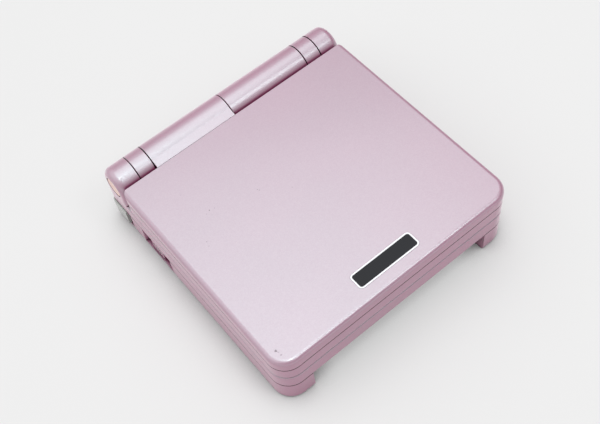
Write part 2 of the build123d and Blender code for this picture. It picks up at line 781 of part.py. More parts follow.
def bay_space():
    """The room for the game card, its wide mouth and the connector behind it."""
    mouth = block(-mouth_half, mouth_half, front - 1, front + mouth_depth, -1, slot_top)
    lip = block(-mouth_half, mouth_half, front - 1, front + wall + fit_gap, -1, base_split + 1)
    slot = block(-slot_half, slot_half, front - 1, connector_end, floor_thickness, slot_top)
    tails = block(-contact_span() / 2 - 0.6, contact_span() / 2 + 0.6, tail_y() - 0.4, tail_y() + 0.8,
                  slot_top - 1, roof_top + 1)
    return mouth + lip + slot + tails


def contact_span():
    return (contact_count - 1) * contact_pitch + contact_width


def tail_y():
    """Where the connector's contacts turn up to the board."""
    return slot_end + connector_length - 2.0


def battery_shell():
    """The walls and roof of the battery compartment."""
    x1 = cover_half + battery_wall
    walls = block(-x1, x1, cover_front - battery_wall, cover_rear + battery_wall, 0, base_split)
    return walls + block(-x1, x1, cover_front - battery_wall, battery_rear + battery_wall, slot_top, roof_top)


def battery_space():
    """The compartment, the recess for its cover and the contact slots in its right wall."""
    x1 = battery_width / 2 + battery_room
    room = block(-x1, x1, battery_front - battery_room, battery_rear, -1, slot_top)
    lid = cover_plate(fit_gap)
    slots = [block(x1 - 1, x1 + 1.3, y - 1, y + 1, cover_thickness + 1, roof_top + 1) for y in battery_contact_places()]
    hook_slots = [block(x - 3.2, x + 3.2, cover_front - battery_wall - 0.1, cover_front + 1,
                        cover_thickness + fit_gap, cover_thickness + 1.2) for x in (-14, 14)]
    hole = post((0, cover_screw_y), screw_radius + screw_room, -1, slot_top - 0.8)
    return room + lid + slots + hook_slots + hole


def cover_plate(extra):
    """The outline of the battery cover, and with extra the recess for it."""
    shape = outline(cover_half + extra, cover_front - extra, cover_rear + extra, 1.5, 1.5)
    return slab(shape, -1 if extra else 0, cover_thickness + extra)


def battery_contact_places():
    return [battery_front + step for step in (6.0, 9.5, 13.0)]


def base_bottom():
    """The lower base moulding: feet, card bay, battery compartment, slider walls and button pockets."""
    shell = slab(base_outline(0), 0, base_split)
    shell = fillet(loop_edges(shell, base_split), seam_edge)
    shell = fillet(loop_edges(shell, 0), bottom_edge)
    skin = shell
    shell -= slab(base_outline(wall), floor_thickness, base_split + 1)
    inner = slider_seat(power_place["y0"], power_place["y1"])
    inner += mirror(slider_seat(volume_place["y0"], volume_place["y1"]), Plane.YZ)
    inner += both_sides(shoulder_walls())
    inner += [post(place, post_radius + 0.3, 0, base_split) for place in case_screw_places]
    inner &= skin
    shell += inner
    shell += bay_shell() & skin
    shell += bay_roof() + battery_shell()
    shell -= bay_space()
    shell -= battery_space()
    shell -= slider_cuts(power_place)
    shell -= mirror(slider_cuts(volume_place), Plane.YZ)
    shell -= both_sides(shoulder_pocket())
    shell -= both_sides(post((shoulder_pivot_x, shoulder_pivot_y), shoulder_pin_radius + fit_gap / 5,
                             shoulder_bottom - 0.9, base_split))
    shell -= both_sides(switch_stem(0.2))
    for place in case_screw_places:
        shell -= post(place, screw_head_radius + fit_gap, -1, case_head_level + screw_head_height)
        shell -= post(place, screw_radius + 2 * screw_room, -1, base_split + 1)
    shell -= block(link_x - link_half - fit_gap, link_x + link_half + fit_gap, rear - socket_length - 1, rear + 1,
                   socket_bottom - fit_gap, base_split + 1)
    shell -= block(charge_x - charge_width / 2 - fit_gap, charge_x + charge_width / 2 + fit_gap,
                   rear - socket_length - 1, rear + 1, socket_bottom - fit_gap, base_split + 1)
    return shell


def bay_roof():
    """The plate between the card and the main board."""
    x1 = mouth_half + bay_wall
    return block(-x1, x1, front + wall + fit_gap, connector_end + battery_wall, slot_top, roof_top)


def case_screws():
    """The screws that join the base mouldings from below."""
    length = face_under - 0.4 - case_head_level
    return Part() + [screw(place, case_head_level, length) for place in case_screw_places]


# ---- keys -----------------------------------------------------------------------------------
def round_key(place, radius, rise):
    """A round key: cap, flange under the key face and a boss over the dome."""
    cap = post(place, radius, flange_bottom, base_top_level + rise)
    cap = fillet(cap.edges().group_by(Axis.Z)[-1], key_edge)
    flange = post(place, radius + flange_width, flange_bottom, flange_top)
    boss = post(place, radius * 0.5, boss_bottom, flange_bottom + 0.1)
    return cap + flange + boss


def dpad_pivot_level():
    return membrane_top + running_gap + dpad_ball


def dpad():
    """The direction pad: a cross with a hollow in the middle and a round flange."""
    top = base_top_level + dpad_rise
    level = dpad_pivot_level()
    flange_z = level - flange_thickness
    cross = slab(dpad_cross(0), flange_z, top)
    cross = fillet(cross.edges().group_by(Axis.Z)[-1], 0.5)
    cross += post(dpad_place, dpad_flange, flange_z, level)
    cross -= Pos(*dpad_place, top + 11.5) * Sphere(12.0)
    cross -= Pos(*dpad_place, level) * Sphere(dpad_ball + running_gap)
    return cross - post(dpad_place, dpad_ball + running_gap, flange_z - 1, level)


def dpad_pivot():
    """The ball on which the direction pad rocks."""
    return Pos(*dpad_place, dpad_pivot_level()) * Sphere(dpad_ball)


def dpad_membrane():
    """The rubber sheet under the direction pad, with one dome for each direction."""
    sheet = post(dpad_place, dpad_arm + 1.2, board_top, membrane_top)
    for i in range(4):
        x = dpad_place[0] + 6.2 * cos(radians(90 * i))
        y = dpad_place[1] + 6.2 * sin(radians(90 * i))
        dome = post((x, y), dome_radius, membrane_top - 0.1, membrane_top + 0.3)
        sheet += chamfer(dome.edges().group_by(Axis.Z)[-1], dome_edge)
    return sheet


def dome_ring(place, radius):
    """A low rubber ring round the boss of a key."""
    ring = post(place, radius + 0.9, membrane_top - 0.1, membrane_top + 0.35)
    return ring - post(place, radius + 0.3, membrane_top, membrane_top + 1)


def action_membrane():
    """The rubber sheet under the two action keys."""
    sheet = Part()
    for place in (action_key_a, action_key_b):
        sheet += post(place, action_key_radius + 1.2, board_top, membrane_top)
    x = (action_key_a[0] + action_key_b[0]) / 2
    y = (action_key_a[1] + action_key_b[1]) / 2
    sheet += block(x - 4, x + 4, y - 3, y + 3, board_top, membrane_top)
    for place in (action_key_a, action_key_b):
        sheet += dome_ring(place, action_key_radius * 0.5)
    return sheet


def menu_membrane():
    """The rubber sheet under the start and select keys."""
    sheet = block(-menu_key_offset, menu_key_offset, menu_key_y - 2, menu_key_y + 2, board_top, membrane_top)
    for x in (-menu_key_offset, menu_key_offset):
        sheet += post((x, menu_key_y), menu_key_radius + 1.4, board_top, membrane_top)
        sheet += dome_ring((x, menu_key_y), menu_key_radius * 0.5)
    return sheet


def light_membrane():
    """The rubber sheet under the screen light key."""
    sheet = post((0, light_key_y), light_key_radius + 1.2, board_top, membrane_top)
    return sheet + dome_ring((0, light_key_y), light_key_radius * 0.5)


# ---- electronics ----------------------------------------------------------------------------
def main_board():
    """The board under the keys, with a tongue to the sockets at the back."""
    inset = wall + board_inset
    shape = outline(half - inset, front + inset, base_cavity_rear - 0.6, front_corner - inset, 1.0)
    board = slab(shape, board_bottom, board_top - running_gap)
    board += block(tongue_left, tongue_right, base_cavity_rear - 2, rear - wall - 0.6, board_bottom,
                   board_top - running_gap)
    board -= post((0, speaker_y), speaker_radius + 0.3, board_bottom - 1, board_top + 1)
    for place in case_screw_places:
        board -= post(place, post_radius + 0.4, board_bottom - 1, board_top + 1)
    span = contact_span() / 2 + 0.6
    board -= block(-span, span, tail_y() - 0.4, tail_y() + 0.8, board_bottom - 1, board_top + 1)
    return board


def board_chips():
    """The processor, the memory and the power controller on the main board."""
    chips = []
    for x, y, size_x, size_y in ((0, hinge_y - 30, 12, 10), (-12.5, hinge_y - 17, 9, 6), (13.5, hinge_y - 19, 8, 8)):
        chips.append(rounded_block((x, y), size_x, size_y, 0.4, board_top, board_top + chip_height))
    return Part() + chips


def cartridge_connector():
    """The moulded socket at the end of the bay."""
    x1 = slot_half - 0.5
    body = block(-x1, x1, slot_end, connector_end - fit_gap, floor_thickness + fit_gap, slot_top - fit_gap)
    middle = (floor_thickness + slot_top) / 2
    span = contact_span() / 2 + 0.8
    body -= block(-span - 1.5, span + 1.5, slot_end - 1, tail_y() - 0.5, middle - 1.1, middle + 1.1)
    body -= block(-span, span, tail_y() - 0.6, tail_y() + 0.8, middle, slot_top + 1)
    return body


def connector_contacts():
    """One bent strip per contact: an arm over the card's edge and a tail up to the board."""
    arm_z = (floor_thickness + slot_top) / 2 + 0.5
    contacts = []
    for i in range(contact_count):
        x = (i - (contact_count - 1) / 2) * contact_pitch
        x0, x1 = x - contact_width / 2, x + contact_width / 2
        arm = block(x0, x1, slot_end + 0.6, tail_y() + contact_thickness, arm_z, arm_z + contact_thickness)
        tail = block(x0, x1, tail_y(), tail_y() + contact_thickness, arm_z, board_top - running_gap)
        contacts.append(arm + tail)
    return Part() + contacts


def battery_pack():
    """A flat rechargeable pack with bevelled edges."""
    z0 = cover_thickness + fit_gap + 0.2
    pack = rounded_block((0, battery_front + battery_length / 2), battery_width, battery_length, 1.5, z0,
                         z0 + battery_thickness)
    return chamfer(pack.edges().filter_by(Plane.XY), battery_edge)


def battery_contacts():
    """Three sprung strips in the wall of the compartment, each with a round nose on the pack."""
    x0 = battery_width / 2 + battery_room + 0.6
    strips = []
    for y in battery_contact_places():
        strip = block(x0, x0 + 0.4, y - 0.8, y + 0.8, cover_thickness + 1.2, board_bottom - running_gap)
        nose = Pos(x0 - 0.1, y, cover_thickness + 3.2) * Rot(90, 0, 0) * Cylinder(0.8, 1.6)
        strips.append(strip + (nose & block(x0 - 1, x0 + 0.1, y - 1, y + 1, 0, board_bottom)))
    return Part() + strips


def battery_cover():
    """The door over the battery, with two hooks at its front edge and a dished screw hole."""
    cover = cover_plate(0)
    cover = fillet(cover.edges().group_by(Axis.Z)[0], 0.3)
    for x in (-14, 14):
        root = cover_front + battery_room - fit_gap
        cover += block(x - 3, x + 3, cover_front - battery_wall + 0.1, root, cover_thickness + 0.15,
                       cover_thickness + 0.95)
        cover += block(x - 3, x + 3, cover_front, root, cover_thickness - 0.3, cover_thickness + 0.95)
    cover -= post((0, cover_screw_y), screw_radius + 2 * screw_room, -1, cover_thickness + 1)
    cover -= Pos(0, cover_screw_y, 0.4) * Cylinder(screw_head_radius + fit_gap, 0.8)
    return cover


def battery_cover_screw():
    return screw_low((0, cover_screw_y))


def screw_low(place):
    """A flat head screw that lies inside the cover's thickness."""
    head = post(place, screw_head_radius, 0.15, 0.75)
    shank = post(place, screw_radius, 0.7, slot_top - 1.5)
    slot = block(place[0] - 1.2, place[0] + 1.2, place[1] - 0.2, place[1] + 0.2, 0, 0.45)
    return head + shank - slot


def speaker():
    """A flat round speaker: basket, cone and magnet."""
    z1 = face_under - running_gap
    place = (0, speaker_y)
    basket = post(place, speaker_radius, z1 - 1.4, z1) - post(place, speaker_radius - 1.2, z1 - 0.9, z1 + 1)
    cone = Pos(0, speaker_y, z1 - 0.7) * Cone(5.0, speaker_radius - 1.0, 0.6)
    magnet = post(place, 5.5, roof_top + 0.15, z1 - 1.3)
    return basket + cone + magnet


def socket(x, size, tongue):
    """A moulded socket open to the back, with a contact tongue."""
    x0, x1 = x - size / 2, x + size / 2
    y0 = rear - socket_length
    body = block(x0, x1, y0, rear - 0.15, socket_bottom, base_split - 0.1)
    body += block(x0, x1, y0, rear - wall - 0.8, base_split - 0.2, board_bottom - running_gap)
    inside = block(x0 + socket_lip, x1 - socket_lip, y0 + 1.5, rear + 1, socket_bottom + socket_lip,
                   base_split - socket_lip - 0.2)
    body -= inside
    middle = (socket_bottom + base_split) / 2 - 0.1
    return body + block(x0 + tongue, x1 - tongue, y0 + 1, rear - 1.6, middle - 0.35, middle + 0.35)


def link_port():
    """The socket for a link cable."""
    return socket(link_x, link_width, 2.6)


def charge_port():
    """The socket for the charger."""
    return socket(charge_x, charge_width, 2.3)


# ---- shoulder buttons -----------------------------------------------------------------------
def shoulder_button():
    """The right shoulder button: a shell round the corner with a boss on its pivot."""
    skin = outline(half + shoulder_proud, front, rear - 0.1, 0, base_rear_corner)
    shell = slab(skin, shoulder_bottom, shoulder_top)
    shell = fillet(loop_edges(shell, shoulder_bottom), shoulder_edge)
    shell = fillet(loop_edges(shell, shoulder_top), shoulder_edge)
    shell -= slab(base_outline(shoulder_thickness), 0, base_split)
    shell &= shoulder_region(0)
    place = (shoulder_pivot_x, shoulder_pivot_y)
    boss_top = shoulder_bottom + 3.2
    shell += post(place, shoulder_boss_radius, shoulder_bottom, boss_top)
    shell += block(place[0] - shoulder_boss_radius, place[0] + shoulder_boss_radius, place[1], rear - 1.0,
                   shoulder_bottom, boss_top)
    shell -= post(place, shoulder_boss_radius + 0.3, boss_top, base_split)
    return shell - post(place, shoulder_pin_radius + running_gap, 0, base_split)


def shoulder_pins():
    place = (shoulder_pivot_x, shoulder_pivot_y)
    return both_sides(post(place, shoulder_pin_radius, shoulder_bottom - 0.8, shoulder_top))


def shoulder_springs():
    """A small coil of flat wire on each pivot pin that turns the button back."""
    radius = shoulder_pin_radius + 0.15 + spring_wire / 2
    z0 = shoulder_bottom + 3.2 + 0.1 + spring_wire / 2
    pitch = spring_wire * 1.25
    path = Helix(pitch=pitch, height=pitch * spring_turns, radius=radius)
    profile = Plane(origin=path @ 0, z_dir=path % 0) * Rectangle(spring_wire, spring_wire)
    coil = sweep(profile, path=path, is_frenet=True)
    return both_sides(Pos(shoulder_pivot_x, shoulder_pivot_y, z0) * coil)


def switch_stem(extra):
    """The stem of the right shoulder switch, and with extra the hole for it."""
    y0 = switch_front() - 0.2
    y1 = rear - shoulder_thickness - 0.7 + (1.0 if extra else 0)
    middle = (shoulder_bottom + shoulder_top) / 2
    return Pos(switch_x, (y0 + y1) / 2, middle) * Rot(90, 0, 0) * Cylinder(0.7 + extra, y1 - y0)


def switch_front():
    """The face of the shoulder switches, just inside the pocket's wall."""
    return rear - shoulder_thickness - shoulder_room - 2 * pocket_wall - fit_gap


def shoulder_switches():
    """The switch behind each shoulder button."""
    y1 = switch_front()
    middle = (shoulder_bottom + shoulder_top) / 2
    body = block(switch_x - 2.8, switch_x + 2.8, y1 - 2.4, y1, middle - 2.2, middle + 2.2)
    return both_sides(body + switch_stem(0))


# ---- all pieces -----------------------------------------------------------------------------
right_button = shoulder_button()
cable_cover = hinge_cable_cover() - ribbon_passage()

pieces = {
    "lid_cover": lid_cover() - ribbon_passage(),
    "lid_frame": lid_frame() - ribbon_passage(),
    "screen_lens": screen_lens(),
    "light_guide": light_guide(),
    "light_strip": light_strip(),
    "lcd_panel": lcd_panel(),
    "lcd_bracket": lcd_bracket(),
    "screen_gasket": screen_gasket(),
    "lid_screws": lid_screws(),
    "lid_screw_pads": lid_screw_pads(),
    "badge_frame": badge_frame(),
    "badge_face": badge_face(),
    "hinge_cable_cover": cable_cover,
    "hinge_collar_left": hinge_collar_left(),
    "hinge_collar_right": hinge_collar_right(),
    "display_flex": display_flex(),
    "hinge_clutch": hinge_clutch(),
    "base_top": base_top(),
    "base_bottom": base_bottom(),
    "hinge_center_cover": hinge_center_cover(),
    "hinge_end_plugs": hinge_end_plugs(),
    "hinge_pin_left": hinge_pin_left(),
    "hinge_shaft_right": hinge_shaft_right(),
    "flex_tail": flex_tail(),
    "main_board": main_board(),
    "board_chips": board_chips(),
    "cartridge_connector": cartridge_connector(),
    "connector_contacts": connector_contacts(),
    "battery_pack": battery_pack(),
    "battery_contacts": battery_contacts(),
    "battery_cover": battery_cover(),
    "battery_cover_screw": battery_cover_screw(),
    "case_screws": case_screws(),
    "speaker": speaker(),
    "dpad_membrane": dpad_membrane(),
    "action_membrane": action_membrane(),
    "menu_membrane": menu_membrane(),
    "light_membrane": light_membrane(),
    "dpad_pivot": dpad_pivot(),
    "dpad": dpad(),
    "button_a": round_key(action_key_a, action_key_radius, action_key_rise),
    "button_b": round_key(action_key_b, action_key_radius, action_key_rise),
    "start_button": round_key((menu_key_offset, menu_key_y), menu_key_radius, menu_key_rise),
    "select_button": round_key((-menu_key_offset, menu_key_y), menu_key_radius, menu_key_rise),
    "light_button": round_key((0, light_key_y), light_key_radius, menu_key_rise),
    "power_switch": slider_body(power_place),
    "power_slider": slider(power_place),
    "volume_control": mirror(slider_body(volume_place), Plane.YZ),
    "volume_slider": mirror(slider(volume_place), Plane.YZ),
    "link_port": link_port(),
    "charge_port": charge_port(),
    "led_windows": led_pipes(0),
    "shoulder_button_right": right_button,
    "shoulder_button_left": mirror(right_button, Plane.YZ),
    "shoulder_pins": shoulder_pins(),
    "shoulder_springs": shoulder_springs(),
    "shoulder_switches": shoulder_switches(),
}

os.makedirs("parts", exist_ok=True)
for name, shape in pieces.items():
    export_step(shape, f"parts/{name}.step")
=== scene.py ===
# A clamshell handheld game console, closed, in pearl pink lacquer, on a plain pale table.
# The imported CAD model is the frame. Lengths in this script are in millimetres until they reach Blender.
from math import cos, radians, sin

import bmesh
import bpy
from mathutils import Matrix, Vector


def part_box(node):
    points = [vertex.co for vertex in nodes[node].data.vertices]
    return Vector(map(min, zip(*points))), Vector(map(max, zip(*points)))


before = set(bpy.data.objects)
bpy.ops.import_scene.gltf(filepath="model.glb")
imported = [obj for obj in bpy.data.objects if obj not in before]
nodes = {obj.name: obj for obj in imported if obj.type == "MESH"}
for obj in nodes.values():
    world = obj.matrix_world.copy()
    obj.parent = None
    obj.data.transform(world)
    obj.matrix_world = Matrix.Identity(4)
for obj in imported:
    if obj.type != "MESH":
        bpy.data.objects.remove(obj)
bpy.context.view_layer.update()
mm = 0.001

# ---- Camera ---------------------------------------------------------------------------------
# The photograph is taken from the front left, well above the table, with the camera rolled a little.
# It aims at a point near the middle of the lid, at half the console's height.
aim = Vector((-3.8, -3.05, 12.0)) * mm
camera_distance = 274.2 * mm
azimuth, elevation, roll = radians(-31.36), radians(57.67), radians(-9.18)
turn = (Matrix.Rotation(azimuth, 4, "Z") @ Matrix.Rotation(radians(90) - elevation, 4, "X")
        @ Matrix.Rotation(roll, 4, "Z"))
camera = bpy.data.objects.new("camera", bpy.data.cameras.new("camera"))
camera.data.lens = 57.1
camera.data.sensor_width = 36.0
camera.data.clip_start = 10 * mm
camera.matrix_world = Matrix.Translation(aim + turn.to_3x3() @ Vector((0, 0, camera_distance))) @ turn
bpy.context.scene.collection.objects.link(camera)
bpy.context.scene.camera = camera
bpy.context.scene.view_settings.view_transform = "Standard"


# ---- Table ----------------------------------------------------------------------------------
# A smooth table top of matt white laminate, wide enough to fill the view from any side.
# To the camera and in reflections it also glows a little, which makes it as pale as in the photograph.
# The glow fades close to the console, where little light reaches the table: a painted contact shadow.
def linear(code):
    """An sRGB hex colour as linear red, green, blue and alpha."""
    parts = [int(code[i:i + 2], 16) / 255 for i in (0, 2, 4)]
    return [p / 12.92 if p <= 0.04045 else ((p + 0.055) / 1.055) ** 2.4 for p in parts] + [1.0]


def add(tree, kind, values=(), links=(), **settings):
    """Adds one node: its settings, the values of its inputs, and the sockets that feed it."""
    node = tree.nodes.new(kind)
    for name, value in settings.items():
        setattr(node, name, value)
    for socket, value in dict(values).items():
        node.inputs[socket].default_value = value
    for socket, source in dict(links).items():
        tree.links.new(source, node.inputs[socket])
    return node


def pattern(tree, kind, size, values=(), **settings):
    """A texture in the object's own place, whose cells or waves are size millimetres across."""
    place = add(tree, "ShaderNodeTexCoord").outputs["Object"]
    return add(tree, kind, {"Scale": 1 / (size * mm), **dict(values)}, {"Vector": place}, **settings)


def blend_colour(tree, factor, first, second):
    """A mix of two colours, each a hex code or a socket."""
    mix = add(tree, "ShaderNodeMix", links={"Factor": factor}, data_type="RGBA")
    for socket, colour in (("A", first), ("B", second)):
        if isinstance(colour, str):
            mix.inputs[socket].default_value = linear(colour)
        else:
            tree.links.new(colour, mix.inputs[socket])
    return mix.outputs["Result"]


def new_material(name):
    """An empty material and its node tree, with an output waiting for a surface."""
    material = bpy.data.materials.new(name)
    material.use_nodes = True
    material.node_tree.nodes.clear()
    return material, material.node_tree


def place_mesh(name, mesh, material):
    """Puts a finished mesh into the scene with its material."""
    mesh.materials.append(material)
    piece = bpy.data.objects.new(name, mesh)
    bpy.context.scene.collection.objects.link(piece)
    return piece


def finish_nodes(names, material):
    """Gives CAD nodes their finish."""
    for name in names:
        for slot in nodes[name].material_slots:
            slot.material = material


table_size = 6000.0
grain_size = 60.0
painted_shadow_reach = 9.0         # how far the painted contact shadow round the console's foot spreads
shut_in, in_the_open = 0.35, 0.85   # the open share of the surroundings at no glow and at full glow
full_glow = 0.352
laminate, tree = new_material("white_laminate_matt")
grain = pattern(tree, "ShaderNodeTexNoise", grain_size, {"Detail": 3.0}).outputs["Fac"]
white = add(tree, "ShaderNodeBsdfDiffuse", links={"Color": blend_colour(tree, grain, "F1F1F1", "F3F3F2")})
dull = add(tree, "ShaderNodeBsdfDiffuse", links={"Color": blend_colour(tree, grain, "AAAAAA", "ACACAC")})
# Painted contact shadow: the table's glow is turned down where the console hems it in.
hollow = add(tree, "ShaderNodeAmbientOcclusion", {"Distance": painted_shadow_reach * mm}, samples=6)
glow_less_painted_shadow = add(tree, "ShaderNodeMapRange",
          {"From Min": shut_in, "From Max": in_the_open, "To Min": 0.0, "To Max": full_glow},
          {"Value": hollow.outputs["AO"]})
glow = add(tree, "ShaderNodeEmission", links={"Strength": glow_less_painted_shadow.outputs[0]})
shown = add(tree, "ShaderNodeAddShader", links={0: dull.outputs[0], 1: glow.outputs[0]})
rays = add(tree, "ShaderNodeLightPath").outputs
seen = rays["Is Camera Ray"]
for ray in ("Is Glossy Ray", "Is Transmission Ray"):
    seen = add(tree, "ShaderNodeMath", links={0: seen, 1: rays[ray]}, operation="MAXIMUM").outputs[0]
surface = add(tree, "ShaderNodeMixShader", links={0: seen, 1: white.outputs[0], 2: shown.outputs[0]})
add(tree, "ShaderNodeOutputMaterial", links={"Surface": surface.outputs[0]})
sheet = bmesh.new()
bmesh.ops.create_grid(sheet, x_segments=1, y_segments=1, size=table_size * mm / 2)
table_mesh = bpy.data.meshes.new("table_top")
sheet.to_mesh(table_mesh)
sheet.free()
place_mesh("table_top", table_mesh, laminate)

# ---- Light ----------------------------------------------------------------------------------
# A pale room: soft light from the ceiling, a window to the left, and far pale walls that meet the table.
# Three soft lamps hang in it: above the hinge, above the front right corner, and a small one that puts the
# bright line along the barrel.
def towards(bearing, rise):
    """The direction at a bearing from +X and a rise above the table, both in degrees."""
    bearing, rise = radians(bearing), radians(rise)
    return cos(rise) * cos(bearing), cos(rise) * sin(bearing), sin(rise)


# Each row is one broad glow of the room: its bearing and rise, how narrow it is, and its brightness.
room = [
    (0, 90, 2.0, 1.08),         # ceiling
    (180, 22, 3.0, 0.75),       # window on the left
    (90, 22, 3.0, 0.52),        # wall behind the hinge
    (-90, 22, 3.0, 0.28),       # wall in front
    (0, 22, 3.0, 0.25),         # wall on the right
    (135, 12, 4.0, 0.55),       # low light behind the left rear corner
]
wall_brightness = 0.84
wall_full, wall_gone = sin(radians(6)), sin(radians(12))    # the far walls fade between these elevations
world = bpy.data.worlds.new("pale_room")
bpy.context.scene.world = world
world.use_nodes = True
tree = world.node_tree
tree.nodes.clear()
direction = add(tree, "ShaderNodeTexCoord")
total = add(tree, "ShaderNodeValue")
total.outputs[0].default_value = 0.0
for bearing, rise, narrowness, brightness in room:
    facing = add(tree, "ShaderNodeVectorMath", {1: towards(bearing, rise)},
                 {0: direction.outputs["Generated"]}, operation="DOT_PRODUCT")
    lobe = add(tree, "ShaderNodeMath", {1: 0.0}, {0: facing.outputs["Value"]}, operation="MAXIMUM")
    lobe = add(tree, "ShaderNodeMath", {1: narrowness}, {0: lobe.outputs[0]}, operation="POWER")
    total = add(tree, "ShaderNodeMath", {1: brightness}, {0: lobe.outputs[0], 2: total.outputs[0]},
                operation="MULTIPLY_ADD")
height = add(tree, "ShaderNodeSeparateXYZ", links={0: direction.outputs["Generated"]})
far_wall = add(tree, "ShaderNodeMapRange",
               {"From Min": wall_full, "From Max": wall_gone, "To Min": wall_brightness, "To Max": 0.0},
               {"Value": height.outputs["Z"]})
total = add(tree, "ShaderNodeMath", links={0: total.outputs[0], 1: far_wall.outputs[0]},
            operation="MAXIMUM")
sky = add(tree, "ShaderNodeBackground", {"Strength": 1.0}, {"Color": total.outputs[0]})
add(tree, "ShaderNodeOutputWorld", links={"Surface": sky.outputs[0]})


def soft_lamp(name, place, size, watts):
    """A square soft lamp that faces the console."""
    lamp = bpy.data.lights.new(name, "AREA")
    lamp.shape = "SQUARE"
    lamp.size = size * mm
    lamp.energy = watts
    piece = bpy.data.objects.new(name, lamp)
    piece.location = Vector(place) * mm
    piece.rotation_euler = Vector(place).to_track_quat("Z", "Y").to_euler()
    bpy.context.scene.collection.objects.link(piece)


soft_lamp("hinge_lamp", (100, 220, 880), 700, 1.65)
soft_lamp("front_lamp", (350, -620, 1000), 350, 1.45)
soft_lamp("line_lamp", (-50, -180, 900), 220, 1.05)


# ---- Painted housings -----------------------------------------------------------------------
# Lid, base, barrel pieces and battery cover: moulded ABS with deep pink lacquer, silver mica flake and satin
# clear coat. Upright walls get less flake: painted shade, darker and deeper pink, as in seams and creases.
# The lid has the small scuffs and pits of a used console.
flake_size = 0.25           # real mica is ten times finer; this is the finest that still shows
flake_depth, flake_tilt = 0.05, 0.03
cloud_size = 40.0           # slow drift of the lacquer's depth
seam_reach = 0.6            # dust and shadow at the lips of a seam
gap_shade_reach = 2.2             # how far into the open the painted shade of a gap or crease is seen
clear_sky = 0.95            # the open share of the surroundings from which a seam's lip has no dust or painted shade
unshaded_tilt = 0.55           # how far a face has to turn up or down to carry all its flake; steeper faces get painted shade
painted = ["hinge_cable_cover", "hinge_collar_left", "hinge_collar_right", "hinge_center_cover",
           "battery_cover", "volume_slider", "power_slider"]


def spread(tree, source, low, high):
    """A value from 0 to 1 taken to the range from low to high."""
    return add(tree, "ShaderNodeMapRange", {"To Min": low, "To Max": high}, {"Value": source}).outputs[0]


def relief(tree, height, depth, strength=1.0):
    """The surface tilted by a pattern that is depth millimetres deep."""
    return add(tree, "ShaderNodeBump", {"Strength": strength, "Distance": depth * mm},
               {"Height": height}).outputs[0]


def in_gaps(tree, reach, closed_sky=0.2, open_sky=0.85):
    """1 down in a seam or crease, 0 where a face sees at least the open_sky share of its surroundings."""
    hollow = add(tree, "ShaderNodeAmbientOcclusion", {"Distance": reach * mm}, samples=8)
    return add(tree, "ShaderNodeMapRange",
               {"From Min": closed_sky, "From Max": open_sky, "To Min": 1.0, "To Max": 0.0},
               {"Value": hollow.outputs["AO"]}).outputs[0]


def unshaded_flat_faces(tree):
    """1 on faces that lie flat, 0 on upright walls, which get less silver flake as painted shade."""
    normal = add(tree, "ShaderNodeTexCoord").outputs["Normal"]
    facing = add(tree, "ShaderNodeSeparateXYZ", links={0: normal})
    flat = add(tree, "ShaderNodeMath", links={0: facing.outputs["Z"]}, operation="ABSOLUTE")
    return add(tree, "ShaderNodeMapRange", {"From Max": unshaded_tilt}, {"Value": flat.outputs[0]}).outputs[0]


# The lid's scuffs and pits, seen from above: x, y and radius in millimetres.
scuffs = [(-38.0, -36.7, 0.40), (-37.6, -37.3, 0.24), (-37.6, -38.4, 0.26), (-25.6, 8.7, 0.30),
          (-24.2, 8.3, 0.15), (-26.0, 7.0, 0.16), (-26.9, 8.3, 0.15), (-32.2, 1.0, 0.15), (-32.5, 0.3, 0.16),
          (-32.6, -0.5, 0.15), (-11.4, 5.1, 0.18), (-11.1, 4.5, 0.20), (-28.7, 18.3, 0.14),
          (-3.6, -1.0, 0.13)]
scuff_core = 0.6            # the share of a scuff's radius that is worn through
rag_size, rag_shift = 0.5, 1.0      # its outline wavers this finely and this far
lid_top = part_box("lid_cover")[1].z / mm


def scuffed_lid(tree):
    """1 on the small ragged marks in the lid's top, 0 elsewhere."""
    place = add(tree, "ShaderNodeTexCoord")
    ragged = pattern(tree, "ShaderNodeTexNoise", rag_size, {"Detail": 3.0})
    shift = add(tree, "ShaderNodeVectorMath", {1: (0.5, 0.5, 0.5)}, {0: ragged.outputs["Color"]},
                operation="SUBTRACT")
    moved = add(tree, "ShaderNodeVectorMath", {1: (rag_shift * mm,) * 3}, {0: shift.outputs[0]},
                operation="MULTIPLY")
    moved = add(tree, "ShaderNodeVectorMath", links={0: moved.outputs[0], 1: place.outputs["Object"]},
                operation="ADD")
    found = None
    for x, y, radius in scuffs:
        away = add(tree, "ShaderNodeVectorMath", {1: (x * mm, y * mm, lid_top * mm)}, {0: moved.outputs[0]},
                   operation="DISTANCE")
        worn = scuff_core * radius * mm
        spot = add(tree, "ShaderNodeMapRange",
                   {"From Min": worn, "From Max": radius * mm, "To Min": 1.0, "To Max": 0.0},
                   {"Value": away.outputs["Value"]}).outputs[0]
        if found is not None:
            spot = add(tree, "ShaderNodeMath", links={0: found, 1: spot}, operation="MAXIMUM").outputs[0]
        found = spot
    return found


dust_and_shade_half_width = 0.2             # half the width of the dark line along a seam: dust and painted shade
lid_seam_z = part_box("lid_frame")[1].z / mm + 0.05       # on the lips of the lid's two shells
base_seam_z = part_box("base_top")[0].z / mm


